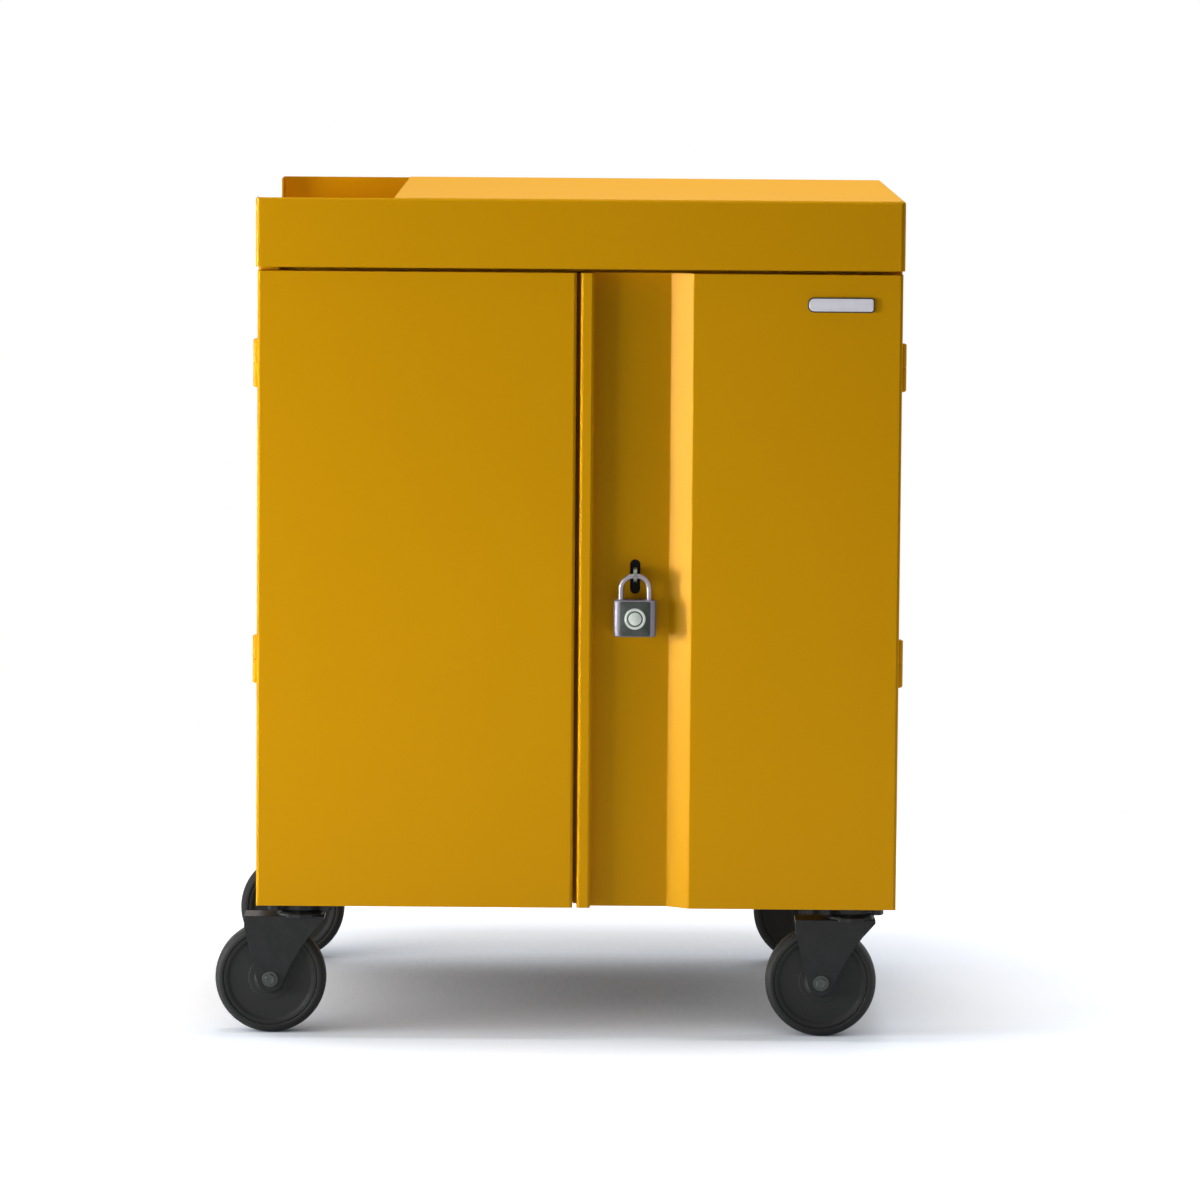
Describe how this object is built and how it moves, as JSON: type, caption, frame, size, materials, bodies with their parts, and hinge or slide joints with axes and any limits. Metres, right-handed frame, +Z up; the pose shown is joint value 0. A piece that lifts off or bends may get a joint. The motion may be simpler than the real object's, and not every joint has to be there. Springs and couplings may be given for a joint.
{
  "type": "laptop charging cart",
  "caption": "Steel laptop charging cart on swivel casters, with double front doors, a padlock in a recessed trough and an open handle well in its top.",
  "frame": {"origin": "on the floor, under the middle of the cabinet", "axes": "+Z up, front doors towards -Y, handle well towards -X"},
  "size_m": [0.782, 0.654, 0.9585],
  "materials": {
    "yellow_paint": "yellow-orange powder coat, satin",
    "zinc_steel": "zinc plated",
    "dark_steel": "dark plated pressing",
    "wheel_polymer": "dark moulded wheel",
    "black_plastic": "moulded",
    "grey_plastic": "moulded",
    "shackle_steel": "plated",
    "padlock_case": "dark lacquered"
  },
  "bodies": {
    "cabinet": {"base_pan": "yellow_paint", "left_side": "yellow_paint", "right_side": "yellow_paint", "ceiling_panel": "yellow_paint", "top_cap": "yellow_paint", "mid_shelf": "yellow_paint", "lower_power_wall": "yellow_paint", "upper_power_wall": "yellow_paint", "lower_rack": "grey_plastic", "upper_rack": "grey_plastic", "lower_power_strip": "black_plastic", "upper_power_strip": "black_plastic", "power_inlet": "black_plastic", "left_upper_hinge_base": "yellow_paint", "left_upper_hinge_pin": "zinc_steel", "left_lower_hinge_base": "yellow_paint", "left_lower_hinge_pin": "zinc_steel", "right_upper_hinge_base": "yellow_paint", "right_upper_hinge_pin": "zinc_steel", "right_lower_hinge_base": "yellow_paint", "right_lower_hinge_pin": "zinc_steel", "rear_upper_hinge_base": "yellow_paint", "rear_upper_hinge_pin": "zinc_steel", "rear_lower_hinge_base": "yellow_paint", "rear_lower_hinge_pin": "zinc_steel", "front_left_caster_plate": "zinc_steel", "front_right_caster_plate": "zinc_steel", "rear_left_caster_plate": "zinc_steel", "rear_right_caster_plate": "zinc_steel"},
    "left_door": {"left_door": "yellow_paint", "left_upper_hinge_socket": "yellow_paint", "left_lower_hinge_socket": "yellow_paint"},
    "right_door": {"right_door": "yellow_paint", "right_upper_hinge_socket": "yellow_paint", "right_lower_hinge_socket": "yellow_paint"},
    "rear_door": {"rear_door": "yellow_paint", "rear_upper_hinge_socket": "yellow_paint", "rear_lower_hinge_socket": "yellow_paint"},
    "lock_bar": {"lock_bar": "zinc_steel"},
    "padlock_shackle": {"padlock_shackle": "shackle_steel"},
    "padlock_body": {"padlock_body": "padlock_case"},
    "left_lower_bolt": {"left_lower_bolt": "zinc_steel"},
    "left_upper_bolt": {"left_upper_bolt": "zinc_steel"},
    "rear_cam": {"rear_cam": "zinc_steel"},
    "lower_switch": {"lower_switch": "black_plastic"},
    "upper_switch": {"upper_switch": "black_plastic"},
    "front_left_swivel": {"front_left_caster_fork": "dark_steel", "front_left_caster_axle": "zinc_steel"},
    "front_left_wheel": {"front_left_caster_wheel": "wheel_polymer"},
    "front_right_swivel": {"front_right_caster_fork": "dark_steel", "front_right_caster_axle": "zinc_steel"},
    "front_right_wheel": {"front_right_caster_wheel": "wheel_polymer"},
    "rear_left_swivel": {"rear_left_caster_fork": "dark_steel", "rear_left_caster_axle": "zinc_steel"},
    "rear_left_wheel": {"rear_left_caster_wheel": "wheel_polymer"},
    "rear_right_swivel": {"rear_right_caster_fork": "dark_steel", "rear_right_caster_axle": "zinc_steel"},
    "rear_right_wheel": {"rear_right_caster_wheel": "wheel_polymer"},
    "rear_left_brake": {"rear_left_brake_lever": "dark_steel"},
    "rear_right_brake": {"rear_right_brake_lever": "dark_steel"}
  },
  "joints": [
    {"name": "left_door_hinge", "type": "hinge", "parent": "cabinet", "child": "left_door", "pos_m": [-0.3646, -0.30075, 0.51], "axis": [0, 0, -1], "range_deg": [0, 180]},
    {"name": "right_door_hinge", "type": "hinge", "parent": "cabinet", "child": "right_door", "pos_m": [0.3646, -0.30075, 0.51], "axis": [0, 0, 1], "range_deg": [0, 180]},
    {"name": "rear_door_hinge", "type": "hinge", "parent": "cabinet", "child": "rear_door", "pos_m": [0.3646, 0.30075, 0.51], "axis": [0, 0, -1], "range_deg": [0, 180]},
    {"name": "lock_bar_slide", "type": "slide", "parent": "right_door", "child": "lock_bar", "axis": [0, 0, 1], "range_m": [-0.012, 0]},
    {"name": "shackle_swing", "type": "hinge", "parent": "lock_bar", "child": "padlock_shackle", "pos_m": [0.06455, -0.317, 0.53165], "axis": [-1, 0, 0], "range_deg": [0, 75]},
    {"name": "padlock_drop", "type": "slide", "parent": "padlock_shackle", "child": "padlock_body", "axis": [0, 0, 1], "range_m": [-0.011, 0]},
    {"name": "left_lower_bolt_slide", "type": "slide", "parent": "left_door", "child": "left_lower_bolt", "axis": [0, 0, 1], "range_m": [-0.012, 0]},
    {"name": "left_upper_bolt_slide", "type": "slide", "parent": "left_door", "child": "left_upper_bolt", "axis": [0, 0, 1], "range_m": [0, 0.012]},
    {"name": "rear_cam_turn", "type": "hinge", "parent": "rear_door", "child": "rear_cam", "pos_m": [-0.33, 0.3, 0.6126], "axis": [0, 1, 0], "range_deg": [0, 90]},
    {"name": "lower_switch_rock", "type": "hinge", "parent": "cabinet", "child": "lower_switch", "pos_m": [0.3292, 0.1598, 0.3666], "axis": [0, 0, 1], "range_deg": [0, 11]},
    {"name": "upper_switch_rock", "type": "hinge", "parent": "cabinet", "child": "upper_switch", "pos_m": [0.3292, 0.1598, 0.7326], "axis": [0, 0, 1], "range_deg": [0, 11]},
    {"name": "front_left_swivel_turn", "type": "hinge", "parent": "cabinet", "child": "front_left_swivel", "pos_m": [-0.315, -0.272, 0.14], "axis": [0, 0, 1], "continuous": true},
    {"name": "front_left_wheel_roll", "type": "hinge", "parent": "front_left_swivel", "child": "front_left_wheel", "pos_m": [-0.349, -0.272, 0.0635], "axis": [0, 1, 0], "continuous": true},
    {"name": "front_right_swivel_turn", "type": "hinge", "parent": "cabinet", "child": "front_right_swivel", "pos_m": [0.315, -0.272, 0.14], "axis": [0, 0, 1], "continuous": true},
    {"name": "front_right_wheel_roll", "type": "hinge", "parent": "front_right_swivel", "child": "front_right_wheel", "pos_m": [0.281, -0.272, 0.0635], "axis": [0, 1, 0], "continuous": true},
    {"name": "rear_left_swivel_turn", "type": "hinge", "parent": "cabinet", "child": "rear_left_swivel", "pos_m": [-0.315, 0.272, 0.14], "axis": [0, 0, 1], "continuous": true},
    {"name": "rear_left_wheel_roll", "type": "hinge", "parent": "rear_left_swivel", "child": "rear_left_wheel", "pos_m": [-0.349, 0.272, 0.0635], "axis": [0, 1, 0], "continuous": true},
    {"name": "rear_right_swivel_turn", "type": "hinge", "parent": "cabinet", "child": "rear_right_swivel", "pos_m": [0.315, 0.272, 0.14], "axis": [0, 0, 1], "continuous": true},
    {"name": "rear_right_wheel_roll", "type": "hinge", "parent": "rear_right_swivel", "child": "rear_right_wheel", "pos_m": [0.281, 0.272, 0.0635], "axis": [0, 1, 0], "continuous": true},
    {"name": "rear_left_brake_press", "type": "hinge", "parent": "rear_left_swivel", "child": "rear_left_brake", "pos_m": [-0.313, 0.272, 0.1185], "axis": [0, -1, 0], "range_deg": [0, 20]},
    {"name": "rear_right_brake_press", "type": "hinge", "parent": "rear_right_swivel", "child": "rear_right_brake", "pos_m": [0.317, 0.272, 0.1185], "axis": [0, -1, 0], "range_deg": [0, 20]}
  ]
}
